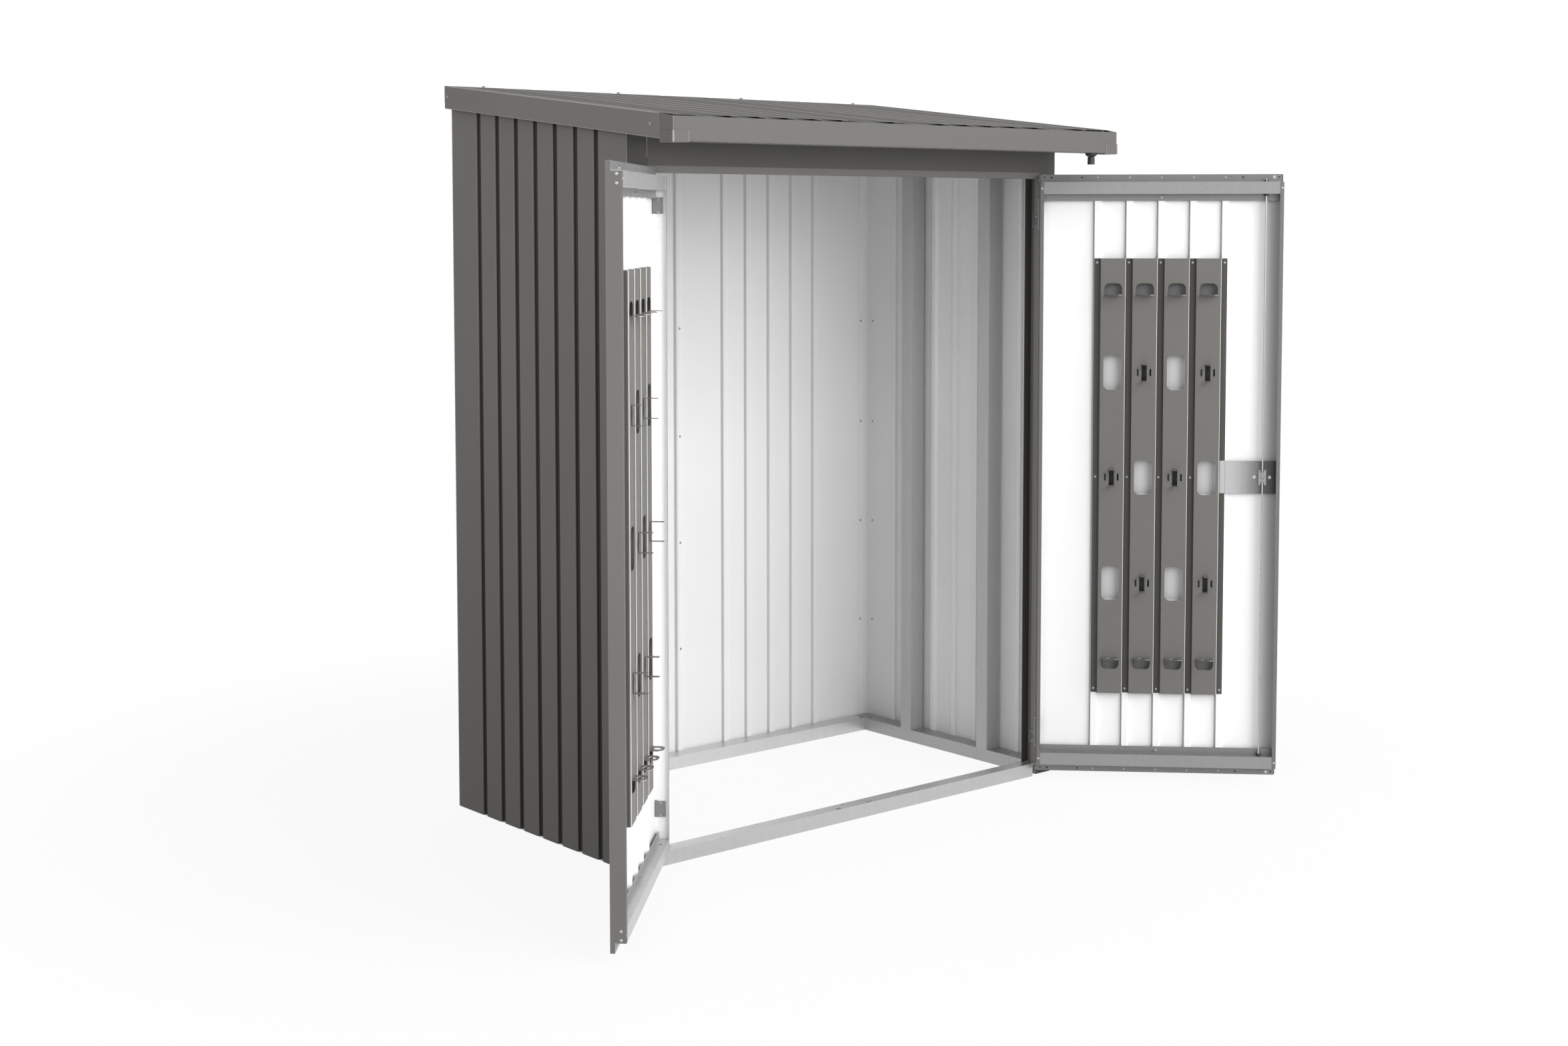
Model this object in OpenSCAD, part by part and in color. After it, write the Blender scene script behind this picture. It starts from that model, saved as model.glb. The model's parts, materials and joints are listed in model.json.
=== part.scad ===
// Metal log store with a lean-to roof and two hinged doors.
// X runs to the right, Y to the back and Z up, in millimetres.
// The origin is the middle of the body's footprint, on the ground.
// Both doors are modelled open, as they stand when the store is in use.

/* [Body] */
// Width of the body over the side walls
body_w = 1529; // [1300:1:1900]
// Depth of the body from the front face to the rear wall
body_d = 804; // [700:1:1100]
// Height of the roof's rear edge above the ground
store_h = 1990; // [1900:1:2200]
// Slope of the roof, down to the front
roof_pitch = 6.4; // [4:0.1:8]
// Thickness of the wall, roof and door sheets
sheet_t = 0.6; // [0.5:0.1:0.8]
// Thickness of the frame and rail profiles
frame_t = 1.2; // [1:0.1:1.5]
// Gap between the ground and the lower edge of the walls
wall_lift = 4; // [1:1:8]

/* [Grooves] */
// Distance from one groove to the next
groove_pitch = 90.15; // [80:0.05:92]
// Width of a groove at its mouth
groove_w = 20.6; // [16:0.1:24]
// Depth of a groove
groove_depth = 9.2; // [6:0.1:9.5]
// Width taken by each sloping side of a groove
groove_draft = 1.5; // [0.5:0.1:3]
// Radius of the sheets' bends
bend_r = 2.4; // [1:0.1:2.8]
// Grooves in a side wall
side_grooves = 7; // [3:1:7]
// Grooves in each rear, roof and door sheet
sheet_grooves = 5; // [3:1:5]
// Distance from the body's side to the end of the rear panels' pattern
panel_margin = 48.5; // [30:0.5:70]

/* [Base] */
// Height of the base rails
rail_h = 37.5; // [30:0.5:50]
// Distance from the body's side to the inner face of a side rail
side_rail_in = 62.5; // [58:0.5:75]
// Distance from the rear wall to the inner face of the rear rail
rear_rail_in = 63.7; // [58:0.1:75]
// Depth of the front beam
beam_d = 41; // [38:1:50]
// Radius of the ground anchor holes
anchor_r = 4.5; // [3:0.5:6]
// Gap between the front beam's end and the post's inner side
beam_gap = 12; // [6:0.5:20]
// Distance from the body's side to the ground anchor holes
anchor_in = 37.5; // [34:0.5:42]
// Distance between the ground anchor holes, front to back
anchor_span_y = 542; // [400:1:560]

/* [Door opening] */
// Width of a front post's face
post_w = 62.8; // [62:0.1:66]
// Depth of a front post's outer side
post_d = 52; // [40:1:80]
// Depth of the post's return beside the door
jamb_d = 31; // [29:0.5:36]
// Width of the post's stop flange
stop_w = 27; // [20:1:32]
// Distance from the roof's rear edge down to the top of the door opening
head_drop = 246.3; // [236:0.1:290]
// Distance from the top of the opening up to the lintel's lower edge
lintel_up = 17.5; // [17.3:0.1:22]

/* [Doors] */
// Gap between the closed leaves
meet_gap = 4.4; // [3.6:0.1:8]
// Thickness of a door leaf
leaf_t = 37; // [34:0.5:38]
// Height of the leaf's lower edge
leaf_z0 = 22; // [18:0.5:26]
// Distance from the top of the opening up to the leaf's upper edge
leaf_up = 11.8; // [4:0.1:13]
// Distance from the body's front to the leaf's outer face
leaf_proud = 12; // [11.9:0.1:13]
// Width of the leaf's inner lips
lip_w = 11.2; // [8:0.1:14]
// Angle that both doors stand open
leaf_open = 135; // [90:1:135]
// Height of the leaf's rail face
door_rail_h = 33.5; // [28:0.5:40]
// Width of a rail's flanges on the skin
door_flange = 20; // [16:0.5:24]

/* [Hinges] */
// Distance from the leaf's edge out to the hinge pin
pin_out = 1.8; // [1.6:0.1:2.2]
// Distance from the leaf's outer face back to the hinge pin
pin_in = 3.3; // [3:0.1:3.6]
// Gap beside the leaf at its hinged edge
hinge_gap = 13; // [12:0.1:14]
// Radius of the hinge barrel
barrel_r = 5; // [4.5:0.1:5.4]
// Radius of the hinge pin
pin_r = 2.5; // [2:0.1:3]
// Radial play between pin and barrel
pin_play = 0.06; // [0.03:0.01:0.1]
// Height of one half of a hinge
hinge_h = 40; // [32:1:44]
// Distance from the leaf's upper edge down to the upper hinge's lower end
hinge_top_in = 153.5; // [145:0.5:260]
// Lower end of the lower hinge
hinge_low_z = 95; // [95:1:200]

/* [Tool panels] */
// Height of the panel's lower edge
tool_z0 = 256; // [240:1:300]
// Distance from the leaf's upper edge down to the panel
tool_top_in = 239.5; // [200:0.5:250]
// Thickness of the panel's sheet
tool_t = 0.9; // [0.8:0.1:1.2]
// Distance from the channels out to the flats
tool_rise = 12; // [8:0.5:13]
// Width of the flats
tool_flat_w = 70; // [64:0.5:72]
// Width of the openings
tool_opening_w = 51; // [40:1:54]
// Height of the long openings
tool_slot_h = 100; // [80:1:104]

/* [Lock] */
// Height of the lock's turning axis
lock_z = 888.5; // [850:0.5:950]
// Distance from the leading edge to the lock rods
rod_in = 47.5; // [44:0.5:60]
// Radius of the lock rods
rod_r = 2.6; // [2:0.1:3]
// Travel of each lock rod
rod_travel = 16.5; // [12:0.5:17]
// Distance from the leading edge to the fixed leaf's bolts
bolt_in = 61; // [50:0.5:80]
// Distance from the lock's turning axis down to the key cylinder
key_drop = 30; // [28:1:34]
// Radius of the fixed leaf's bolts
bolt_r = 3.5; // [3:0.1:4]
// Gap between a drawn rod or bolt and the opening's frame
rod_gap = 2; // [1.5:0.1:4]

/* [Roof and gutter] */
// How far the roof stands out at each side
roof_side = 20.5; // [16:0.5:40]
// How far the roof stands out in front of the body
roof_front = 215.7; // [150:0.1:300]
// Height of the side fascias
fascia_h = 61.3; // [45:0.1:70]
// Height of the gutter's front face
gutter_h = 60; // [50:0.5:70]
// Width of the gutter
gutter_w = 51; // [40:0.5:60]
// Distance from the roof's left side to the first lap
lap_left_in = 21.9; // [20:0.1:30]
// Distance from the roof's right side to the last lap
lap_right_in = 116.7; // [100:0.1:130]
// Width of the corner clips on the gutter's ends
clip_w = 45; // [30:1:58]
// Height of the corner clips
clip_h = 28; // [20:1:34]

/* [Hidden] */
$fn = 32;
bend_steps = 2;
eps = 0.02;

half_w = body_w / 2;
half_d = body_d / 2;
front_y = -half_d;
rear_y = half_d;

// Sheets touch across seat_gap, and pieces that pass each other keep free_gap.
seat_gap = 0.1;
free_gap = 0.3;
groove_back = groove_depth + sheet_t;
lap_back = groove_back + sheet_t + seat_gap;

opening_h = store_h - head_drop;
lintel_z = opening_h + lintel_up;
leaf_z1 = opening_h + leaf_up;

jamb_x = half_w - post_w;
side_rail_x = half_w - side_rail_in;
rail_back_x = half_w - groove_back - seat_gap;
rear_rail_y = rear_y - rear_rail_in;
rail_back_y = rear_y - lap_back - seat_gap;
anchor_x = half_w - anchor_in;
beam_x = jamb_x - beam_gap;
beam_rear_y = front_y + beam_d;

head_h = rail_h;
head_front_y = front_y + 1;
stop_y = front_y + jamb_d;
stop_x = jamb_x - stop_w;
post_t = 1.2;
post_bend = 1.4;

side_pattern_y = -2;
rear_pattern_x = (half_w - panel_margin) / 2;
rear_lap_x = 0;
rear_flange = 31;
screw_in = 28;
screw_rows = [1305, 984, 665, 345];

// Roof frame: its origin is the middle of the rear edge and its Z is square to the sheets.
roof_rear_y = rear_y + sheet_t;
sheet_short = 20;
sheet_len = (roof_rear_y - front_y + roof_front) / cos(roof_pitch) - sheet_short;
function roof_z(y) = store_h - (roof_rear_y - y) * tan(roof_pitch);
function under_roof(y) = roof_z(y) - (lap_back + free_gap) / cos(roof_pitch);
gutter_front_y = front_y - roof_front;
gutter_drop = 2.7;
gutter_top_z = roof_z(gutter_front_y) - gutter_drop;
gutter_z = gutter_top_z - gutter_h;
gutter_rear_y = gutter_front_y + gutter_w;
half_roof = half_w + roof_side;
roof_lap_left = lap_left_in - half_roof;
roof_lap_right = half_roof - lap_right_in;
roof_lap_x = (roof_lap_left + roof_lap_right) / 2;
roof_left_x = (roof_lap_left + roof_lap_x) / 2;
roof_right_x = (roof_lap_x + roof_lap_right) / 2;

// Leaf frame: s runs from the hinged edge, n from the outer face inwards.
leaf_w = jamb_x - hinge_gap - meet_gap / 2;
pin_x = jamb_x - hinge_gap + pin_out;
pin_y = front_y - leaf_proud + pin_in;
leaf_groove_s = leaf_w / 2 + 2;
rail_n = groove_back + seat_gap;
rail_front_n = rail_n + frame_t;
rail_top_edge = 22.5;
rail_low_edge = 24;
rail_top_z = leaf_z1 - rail_top_edge;
rail_low_z = leaf_z0 + rail_low_edge;
rail_end = sheet_t + 2;
rail_face_n = leaf_t - sheet_t - seat_gap;
hole_row = 8.5;
holes_from_hinge = [12.5, 32.6, 120];
holes_from_lead = [112.7, 10.5];
flange_holes = concat(holes_from_hinge, [for (d = holes_from_lead) leaf_w - d]);
hole_r = 2.5;
wide_hole_r = 3.3;
web_hole = [51, 22];
web_hole_r = 4.2;

hinge_plate_d = 27.5;
hinge_plate_t = 2.5;
hinge_play = 0.3;
notch_r = barrel_r + 1.2;
notch_s = notch_r - pin_out;
notch_n = notch_r + pin_in;
hinge_screws = [6, 34];
hinge_top_z = leaf_z1 - hinge_top_in;
hinge_bases = [hinge_low_z, hinge_top_z];
upper_hinge_end = hinge_top_z + 2 * hinge_h + hinge_play;

tool_count = 4;
tool_n = groove_back + seat_gap;
tool_face_n = tool_n + tool_rise;
tool_s0 = leaf_groove_s - 2 * groove_pitch;
channel_w = 16;
tool_z1 = leaf_z1 - tool_top_in;
tool_mid_z = (tool_z0 + tool_z1) / 2;
hook_out = 34;
hook_hole_w = 15;
hook_hole_h = 46;
strap_gap = 18;
strap_w = 5;
strap_h = 20;
corner_share = 0.3;
hook_in = 104;
slot_z = [for (d = [-307, 0.5, 303]) tool_mid_z + d];
top_hook_z = tool_z1 - hook_in;
low_hook_z = tool_z0 + hook_in;
hook_h = 32;

plate_n = tool_n + tool_t + seat_gap;
plate_t = 1.5;
plate_step = 0.7;
plate_h = 94;
plate_s0 = leaf_groove_s + tool_count / 2 * groove_pitch - 7;
plate_front_n = plate_n + plate_t + plate_step;
lock_screw_h = 1.5;
cam_n = plate_front_n + lock_screw_h + free_gap;
cam_t = 2.2;
cam_w = 22;
cam_h = 44;
rod_s = leaf_w - rod_in;
rod_n = cam_n + cam_t + free_gap + rod_r;
bolt_s = leaf_w - bolt_in;
rod_top_z = opening_h - rod_gap;
rod_low_z = rail_h + rod_gap;
rod_y = front_y - leaf_proud + rod_n;
rod_x = meet_gap / 2 + rod_in;
bolt_x = meet_gap / 2 + bolt_in;
slot_l = 20;
slot_w = 9;
key_z = lock_z - key_drop;
key_r = 8.5;
key_play = 0.08;

// Sheet profiles

function unit(v) = v / norm(v);
function across(a, b) = let (d = unit(b - a)) [-d[1], d[0]];
function reversed(list) = [for (i = [len(list) - 1:-1:0]) list[i]];

// The points beside a path, at a distance to its left
function beside(path, gap) = [for (i = [0:len(path) - 1])
    let (before = across(path[max(i - 1, 0)], path[max(i, 1)]),
        after = i < len(path) - 1 ? across(path[i], path[i + 1]) : before,
        middle = unit(before + after))
    path[i] + middle * gap / (middle * before)];

// A path with each inner corner rounded
function rounded(path, r) = [for (i = [0:len(path) - 1])
    if (i == 0 || i == len(path) - 1) path[i]
    else let (to_last = unit(path[i - 1] - path[i]),
            to_next = unit(path[i + 1] - path[i]),
            turn = 180 - acos(max(-1, min(1, to_last * to_next))),
            reach = r * tan(turn / 2),
            from_point = path[i] + to_last * reach,
            end_point = path[i] + to_next * reach)
        for (k = [0:bend_steps])
            let (f = k / bend_steps)
            from_point * (1 - f) * (1 - f) + path[i] * 2 * f * (1 - f) + end_point * f * f];

function band(path, t) = concat(beside(path, t / 2), reversed(beside(path, -t / 2)));

// A folded profile: the path is the middle of the sheet
module profile(path, t, length) {
    linear_extrude(length)
        polygon(band(path, t));
}

// Groove points along u, with the depth as the second number
function groove(c, t, w = groove_w, d = groove_depth, dr = groove_draft) = [
    [c - w / 2 - t / 2, t / 2],
    [c - w / 2 + dr - t / 2, d + t / 2],
    [c + w / 2 - dr + t / 2, d + t / 2],
    [c + w / 2 + t / 2, t / 2]];

function middles(centre, count) = [for (i = [0:count - 1])
    centre + (i - (count - 1) / 2) * groove_pitch];

function grooves(list, t) = [for (c = list) for (p = groove(c, t)) p];

// Profiles drawn in X and Y that run up Z
module upright(path, t, z0, z1) {
    translate([0, 0, z0])
        profile(path, t, z1 - z0);
}

// Profiles drawn in Y and Z that run along X
module along_x(path, t, x0, x1) {
    translate([x0, 0, 0])
        rotate([90, 0, 90])
            profile(path, t, x1 - x0);
}

// Profiles drawn in X and Z that run along Y
module along_y(path, t, y0, y1) {
    translate([0, y1, 0])
        rotate([90, 0, 0])
            profile(path, t, y1 - y0);
}

module on_roof() {
    translate([0, roof_rear_y, store_h])
        rotate([roof_pitch, 0, 0])
            children();
}

module left_leaf() {
    translate([-pin_x, pin_y, 0])
        rotate([0, 0, -leaf_open])
            translate([pin_out, -pin_in, 0])
                children();
}

module right_leaf() {
    mirror([1, 0, 0])
        left_leaf()
            children();
}

module both_sides() {
    children();
    mirror([1, 0, 0])
        children();
}

// A round screw head whose flat side faces down
module screw_head(r = 3.4, h = 1.8) {
    rotate_extrude()
        polygon([[0, 0], [r, 0], [r, h * 0.35], [r * 0.75, h * 0.85], [r * 0.42, h],
            [r * 0.38, h * 0.5], [0, h * 0.5]]);
}

module rivet(r, h) {
    cylinder(r = r, h = h);
}

// A hexagon bolt head on a washer
washer_t = 1;
module hex_head(r = 5, h = 3.4) {
    cylinder(r = r * 1.25, h = washer_t);
    translate([0, 0, washer_t - eps])
        cylinder(r = r, h = h, $fn = 6);
}

module drill_z(x, y, z, r, depth) {
    translate([x, y, z - depth / 2])
        cylinder(r = r, h = depth);
}

paint = [0.36, 0.355, 0.34];
paint_light = [0.45, 0.445, 0.43];
zinc = [0.66, 0.67, 0.67];
inner_white = [0.86, 0.87, 0.87];
steel = [0.72, 0.73, 0.74];
black = [0.08, 0.08, 0.08];

// Base frame

// An inverted channel between two lines, open underneath
function channel(a, b) = [[a + frame_t / 2, 0], [a + frame_t / 2, rail_h - frame_t / 2],
    [b - frame_t / 2, rail_h - frame_t / 2], [b - frame_t / 2, 0]];

beam_hole_in = 67;
module front_beam() {
    path = channel(front_y, beam_rear_y);
    color(zinc)
        difference() {
            along_x(path, frame_t, -beam_x, beam_x);
            for (x = [rod_x, -bolt_x])
                translate([x, rod_y, 0])
                    cube([slot_l, slot_w, 3 * rail_h], center = true);
            both_sides()
                drill_z(beam_x - beam_hole_in, front_y + beam_d / 2, rail_h, hole_r, 4 * frame_t);
        }
}

module rear_rail() {
    color(zinc)
        along_x(channel(rear_rail_y, rail_back_y), frame_t, -side_rail_x + seat_gap,
            side_rail_x - seat_gap);
}

// Round opening over the rear corner plate, from the rails' inner faces
tie_x = 21;
tie_y = 19;
tie_r = 9;
module side_rail() {
    path = channel(side_rail_x, rail_back_x);
    color(zinc)
        difference() {
            along_y(path, frame_t, beam_rear_y + 1, rail_back_y);
            translate([side_rail_x - frame_t, rear_rail_y + 1, -rail_h])
                cube([3 * frame_t, rear_rail_in, 2 * rail_h - frame_t]);
            for (end = [-1, 1])
                drill_z(anchor_x, end * anchor_span_y / 2, rail_h, anchor_r, 4 * frame_t);
            drill_z(side_rail_x + tie_x, rear_rail_y + tie_y, rail_h, tie_r, 4 * frame_t);
        }
}

module right_rail() {
    side_rail();
}

module left_rail() {
    mirror([1, 0, 0])
        side_rail();
}

// Plates in the side rails that stand on the ground and take the anchors
anchor_plate_t = 2.5;
anchor_plate_l = 60;
module anchor_plates() {
    inner_x = side_rail_x + frame_t + seat_gap;
    outer_x = rail_back_x - frame_t - seat_gap;
    color(zinc)
        both_sides()
            for (end = [-1, 1])
                difference() {
                    translate([inner_x, (end * anchor_span_y - anchor_plate_l) / 2, 0])
                        cube([outer_x - inner_x, anchor_plate_l, anchor_plate_t]);
                    drill_z(anchor_x, end * anchor_span_y / 2, 0, anchor_r, 3 * anchor_plate_t);
                }
}

// Flat plates under the rails' top faces that join them at the corners
corner_plate_t = 2;
corner_arm = 45;
corner_gap = 1;
module corner_plates() {
    inner_x = side_rail_x + frame_t + corner_gap;
    outer_x = rail_back_x - frame_t - corner_gap;
    rear_in_y = rear_rail_y + frame_t + corner_gap;
    rear_out_y = rail_back_y - frame_t - corner_gap;
    front_in_y = beam_rear_y - frame_t - corner_gap;
    front_out_y = front_y + frame_t + corner_gap;
    neck_y = stop_y + 2 * post_t;
    neck_x = jamb_x - corner_gap;
    color(zinc)
        both_sides()
            translate([0, 0, rail_h - frame_t - corner_plate_t - seat_gap]) {
                difference() {
                    linear_extrude(corner_plate_t)
                        polygon([[side_rail_x - corner_arm, rear_in_y],
                            [outer_x, rear_in_y],
                            [outer_x, rear_out_y],
                            [side_rail_x - corner_arm, rear_out_y]]);
                    drill_z(side_rail_x + tie_x, rear_rail_y + tie_y, 0, tie_r, 3 * corner_plate_t);
                }
                linear_extrude(corner_plate_t)
                    polygon([[beam_x - corner_arm, front_out_y],
                        [neck_x, front_out_y],
                        [neck_x, neck_y],
                        [outer_x, neck_y],
                        [outer_x, beam_rear_y + corner_arm],
                        [inner_x, beam_rear_y + corner_arm],
                        [inner_x, front_in_y],
                        [beam_x - corner_arm, front_in_y]]);
            }
}

// Posts and walls

module front_post() {
    outer = half_w - sheet_t - post_t / 2;
    inner = jamb_x + post_t / 2;
    path = rounded([[outer, front_y + post_d], [outer, front_y + post_t / 2],
        [inner, front_y + post_t / 2], [inner, stop_y], [stop_x, stop_y]], post_bend);
    top = under_roof(front_y) - free_gap;
    color(paint)
        difference() {
            upright(path, post_t, wall_lift, top);
            for (z = [-rail_h, opening_h - free_gap])
                translate([stop_x - stop_w, stop_y - 2 * post_t, z])
                    cube([2 * stop_w, 4 * post_t, z > 0 ? store_h : 2 * rail_h + free_gap]);
        }
}

module right_post() {
    front_post();
}

module left_post() {
    mirror([1, 0, 0])
        front_post();
}

// The side wall's path is drawn in depth and Y, from the front to the folded rear edge
module side_wall() {
    run = rounded(concat([[front_y, sheet_t / 2]],
        grooves(middles(side_pattern_y, side_grooves), sheet_t),
        [[rear_y - 1.5 * sheet_t, sheet_t / 2], [rear_y - 1.5 * sheet_t, rear_flange]]), bend_r);
    path = [for (p = run) [half_w - p[1], p[0]]];
    color(paint)
        difference() {
            upright(path, sheet_t, wall_lift, store_h);
            on_roof()
                translate([0, -2 * body_d, -lap_back - free_gap])
                    cube([body_w, 3 * body_d, body_d]);
        }
}

module right_wall() {
    side_wall();
}

module left_wall() {
    mirror([1, 0, 0])
        side_wall();
}

rear_top = under_roof(rear_y) - free_gap;
lap_reach = 3;

// The left rear panel ends on the floor of the lap groove
module left_rear_panel() {
    lap = groove(rear_lap_x, sheet_t);
    run = rounded(concat([[-half_w, sheet_t / 2]],
        grooves(middles(-rear_pattern_x, sheet_grooves), sheet_t),
        [lap[0], lap[1], lap[2] - [lap_reach, 0]]), bend_r);
    color(paint)
        upright([for (p = run) [p[0], rear_y - p[1]]], sheet_t, wall_lift, rear_top);
}

// The right rear panel laps over that floor from inside
module right_rear_panel() {
    lap = groove(rear_lap_x, sheet_t);
    run = rounded(concat([lap[1] + [lap_reach, lap_back - groove_back],
            lap[2] + [seat_gap, lap_back - groove_back], lap[3] + [seat_gap, 0]],
        grooves(middles(rear_pattern_x, sheet_grooves), sheet_t),
        [[half_w, sheet_t / 2]]), bend_r);
    color(paint)
        upright([for (p = run) [p[0], rear_y - p[1]]], sheet_t, wall_lift, rear_top);
}

// Lipped uprights that stand on the side rails and stiffen the walls
stud_y = [151.5, -179.5];
stud_w = 44;
stud_lip = 15;
stud_t = 0.9;
stud_bend = 1.2;
stud_short = 70;
module studs() {
    face = side_rail_x + stud_t / 2;
    back = half_w - groove_back - seat_gap - stud_t / 2;
    color(inner_white)
        for (y = stud_y)
            upright(rounded([[back, y - stud_w / 2 + stud_lip], [back, y - stud_w / 2],
                [face, y - stud_w / 2], [face, y + stud_w / 2],
                [back, y + stud_w / 2], [back, y + stud_w / 2 - stud_lip]], stud_bend),
                stud_t, rail_h + seat_gap, roof_z(front_y) - stud_short);
}

module right_studs() {
    studs();
}

module left_studs() {
    mirror([1, 0, 0])
        studs();
}

// Door head and lintel

module head_beam() {
    z0 = opening_h + frame_t / 2;
    z1 = opening_h + head_h;
    color(paint)
        difference() {
            along_x([[beam_rear_y - frame_t / 2, z1], [beam_rear_y - frame_t / 2, z0],
                [head_front_y + frame_t / 2, z0], [head_front_y + frame_t / 2, z1]],
                frame_t, seat_gap - jamb_x, jamb_x - seat_gap);
            for (x = [rod_x, -bolt_x])
                translate([x, rod_y, opening_h])
                    cube([slot_l, slot_w, 6 * frame_t], center = true);
        }
}

lintel_fold = 30;
module lintel() {
    y = front_y + sheet_t / 2;
    top = under_roof(front_y) - 2 * free_gap;
    color(paint)
        along_x(rounded([[y, lintel_z], [y, top], [y + lintel_fold, top]], post_bend), sheet_t,
            free_gap - jamb_x, jamb_x - free_gap);
}

// Angles along the tops of the walls that carry the roof sheets
angle_w = 32;
rear_angle_in = 90;
side_angle_in = 50;
module rear_top_rail() {
    back = rail_back_y - frame_t / 2;
    top = under_roof(rail_back_y) - frame_t;
    color(zinc)
        along_x([[back, top - angle_w], [back, top],
            [back - angle_w, top - angle_w * tan(roof_pitch)]],
            frame_t, rear_angle_in - half_w, half_w - rear_angle_in);
}

module side_top_rail() {
    back = rail_back_x - frame_t / 2;
    drop = -lap_back - frame_t / 2 - free_gap;
    color(zinc)
        on_roof()
            along_y([[back - angle_w, drop], [back, drop], [back, drop - angle_w]], frame_t,
                side_angle_in - body_d, -side_angle_in);
}

module right_top_rail() {
    side_top_rail();
}

module left_top_rail() {
    mirror([1, 0, 0])
        side_top_rail();
}

// Roof

module left_roof_sheet() {
    lap = groove(roof_lap_x, sheet_t);
    run = rounded(concat([[seat_gap - half_roof, sheet_t / 2]], groove(roof_lap_left, sheet_t),
        grooves(middles(roof_left_x, sheet_grooves), sheet_t),
        [lap[0], lap[1], lap[2] - [lap_reach, 0]]), bend_r);
    color(paint)
        on_roof()
            along_y([for (p = run) [p[0], -p[1]]], sheet_t, -sheet_len, 0);
}

module right_roof_sheet() {
    lap = groove(roof_lap_x, sheet_t);
    run = rounded(concat([lap[1] + [lap_reach, lap_back - groove_back],
            lap[2] + [seat_gap, lap_back - groove_back], lap[3] + [seat_gap, 0]],
        grooves(middles(roof_right_x, sheet_grooves), sheet_t), groove(roof_lap_right, sheet_t),
        [[half_roof - seat_gap, sheet_t / 2]]), bend_r);
    color(paint)
        on_roof()
            along_y([for (p = run) [p[0], -p[1]]], sheet_t, -sheet_len, 0);
}

fascia_lip = 8;
fascia_foot = 14;
fascia_gap = 1.2;
fascia_front_y = gutter_rear_y + fascia_gap;
fascia_len = roof_rear_y - fascia_front_y;
module fascia() {
    face = half_roof - sheet_t / 2;
    top = -1.5 * sheet_t - seat_gap;
    low = sheet_t / 2 - fascia_h;
    color(paint)
        intersection() {
            on_roof()
                along_y(rounded([[half_roof - fascia_lip, top], [face, top],
                    [face, low], [half_roof - fascia_foot, low]], post_bend), sheet_t,
                    -2 * fascia_len, fascia_len);
            translate([0, fascia_front_y, 0])
                cube([body_w, fascia_len, 2 * store_h]);
        }
}

module right_fascia() {
    fascia();
}

module left_fascia() {
    mirror([1, 0, 0])
        fascia();
}

// Strip across the rear edge that closes the roof sheets' grooves
rear_trim_h = 45;
module rear_trim() {
    top = store_h - free_gap;
    y = roof_rear_y + lap_back * sin(roof_pitch) + seat_gap + sheet_t / 2;
    color(paint)
        along_x([[y, top - rear_trim_h], [y, top]], sheet_t, sheet_t - half_roof,
            half_roof - sheet_t);
}

gutter_lip = 7;
module gutter() {
    front = gutter_front_y + sheet_t / 2;
    back = gutter_rear_y - sheet_t / 2;
    low = gutter_z + sheet_t / 2;
    top = gutter_top_z - sheet_t / 2;
    end = half_roof - sheet_t - seat_gap;
    color(paint_light)
        difference() {
            along_x(rounded([[back, under_roof(gutter_rear_y)], [back, low], [front, low],
                [front, top], [front + gutter_lip, top]], post_bend), sheet_t, -end, end);
            drill_z(spout_x, spout_y, gutter_z, spout_neck_r + free_gap, 10 * sheet_t);
        }
}

// A cap over the gutter's end, with a tab inside the fascia and a clip round the lower corner
clip_t = 2.2;
tab_l = 46;
tab_z = 22;
tab_h = 26;
module gutter_end() {
    inside = half_roof - sheet_t;
    tab_x = inside - sheet_t - seat_gap;
    rear_z = roof_z(gutter_rear_y) - sheet_t - 2 * seat_gap;
    color(paint_light)
        difference() {
            union() {
                translate([inside, 0, 0])
                    rotate([90, 0, 90])
                        linear_extrude(sheet_t)
                            polygon([[gutter_front_y, gutter_z], [gutter_rear_y, gutter_z],
                                [gutter_rear_y, rear_z], [gutter_front_y, gutter_top_z]]);
                translate([tab_x, gutter_rear_y + free_gap, gutter_z + tab_z])
                    cube([sheet_t, tab_l, tab_h]);
                translate([tab_x, gutter_rear_y + free_gap, gutter_z + tab_z])
                    cube([2 * sheet_t, sheet_t, tab_h]);
                translate([inside, gutter_rear_y - sheet_t, gutter_z + tab_z])
                    cube([sheet_t, 2 * sheet_t + free_gap, tab_h]);
                translate([half_roof - clip_w, gutter_front_y - clip_t, gutter_z - clip_t])
                    cube([clip_w + clip_t, gutter_w + clip_t, clip_h]);
            }
            translate([-half_roof, gutter_front_y - seat_gap, gutter_z - seat_gap])
                cube([half_roof + inside, gutter_w + 2 * seat_gap, gutter_h]);
        }
}

module right_gutter_end() {
    gutter_end();
}

module left_gutter_end() {
    mirror([1, 0, 0])
        gutter_end();
}

// Plastic outlet under the gutter's right end
spout_in = 77.5;
spout_x = half_roof - spout_in;
spout_y = gutter_front_y + gutter_w / 2;
spout_bore_r = 6.7;
spout_neck_r = 9;
spout_neck_h = 3;
spout_flange_r = 16.3;
spout_flange_h = 4.5;
spout_cone_r = 8.4;
spout_cone_low = 11;
spigot_r = 10;
spigot_top = 12.5;
spigot_low = 31.5;
module drain_spout() {
    flange_z = gutter_z - seat_gap;
    color(black)
        translate([spout_x, spout_y, 0])
            rotate_extrude()
                polygon([[spout_bore_r, gutter_z - spigot_low],
                    [spigot_r, gutter_z - spigot_low],
                    [spigot_r, gutter_z - spigot_top],
                    [spout_cone_r, gutter_z - spigot_top],
                    [spout_cone_r, gutter_z - spout_cone_low],
                    [spout_flange_r, flange_z - spout_flange_h],
                    [spout_flange_r, flange_z],
                    [spout_neck_r, flange_z],
                    [spout_neck_r, gutter_z + spout_neck_h],
                    [spout_bore_r, gutter_z + spout_neck_h]]);
}

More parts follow.
